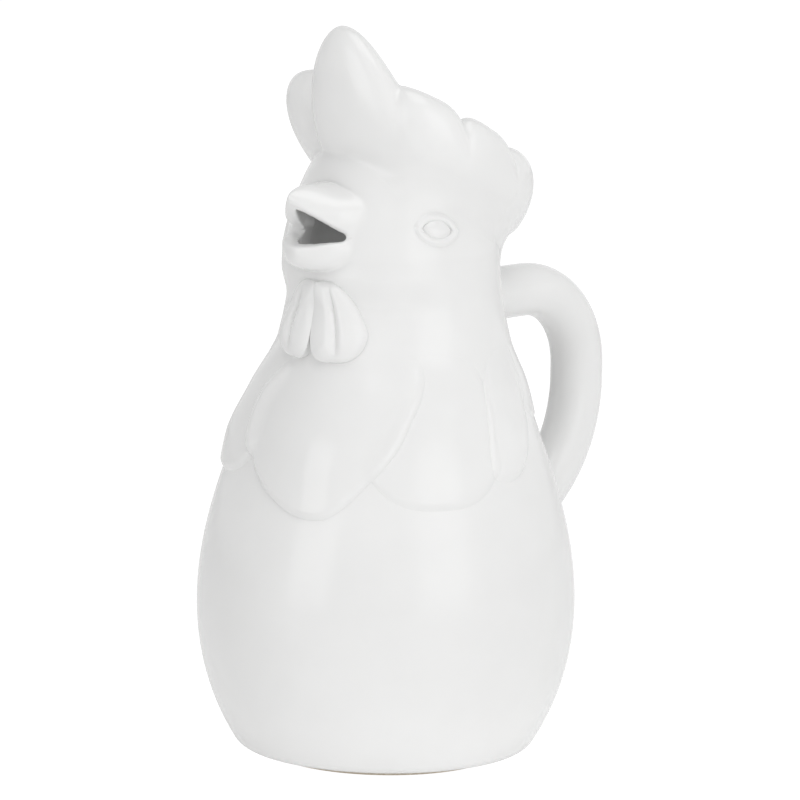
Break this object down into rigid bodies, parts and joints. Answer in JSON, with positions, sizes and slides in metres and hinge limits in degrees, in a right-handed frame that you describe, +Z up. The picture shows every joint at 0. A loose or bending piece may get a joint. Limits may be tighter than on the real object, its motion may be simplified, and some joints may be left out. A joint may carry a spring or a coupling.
{
  "type": "ceramic pitcher",
  "caption": "Glazed ceramic pitcher shaped as a hen: a pear-shaped body, a lobed comb round the filling mouth, an open beak that pours and a round loop handle.",
  "frame": {"origin": "middle of the foot ring's resting face, on the axis of the thrown body", "axes": "+Z up, the bird faces -Y, its left side is +X, the handle is at +Y"},
  "size_m": [0.138, 0.18, 0.2678],
  "materials": {
    "glaze": "glossy white glaze",
    "bare_clay": "unglazed, matt"
  },
  "bodies": {
    "root": {"foot_ring": "bare_clay", "body_shell": "glaze", "neck_shell": "glaze", "beak_upper": "glaze", "beak_lower": "glaze", "wattle_left": "glaze", "wattle_right": "glaze", "eye_left": "glaze", "eye_right": "glaze", "eyelid_left": "glaze", "eyelid_right": "glaze", "comb_front": "glaze", "comb_left_1": "glaze", "comb_left_2": "glaze", "comb_left_3": "glaze", "comb_right_1": "glaze", "comb_right_2": "glaze", "comb_right_3": "glaze", "comb_rear": "glaze", "feather_front_left": "glaze", "feather_front_right": "glaze", "feather_side_left": "glaze", "feather_side_right": "glaze", "feather_flank_left": "glaze", "feather_flank_right": "glaze", "feather_rear_left": "glaze", "feather_rear_right": "glaze", "handle": "glaze"}
  },
  "joints": []
}
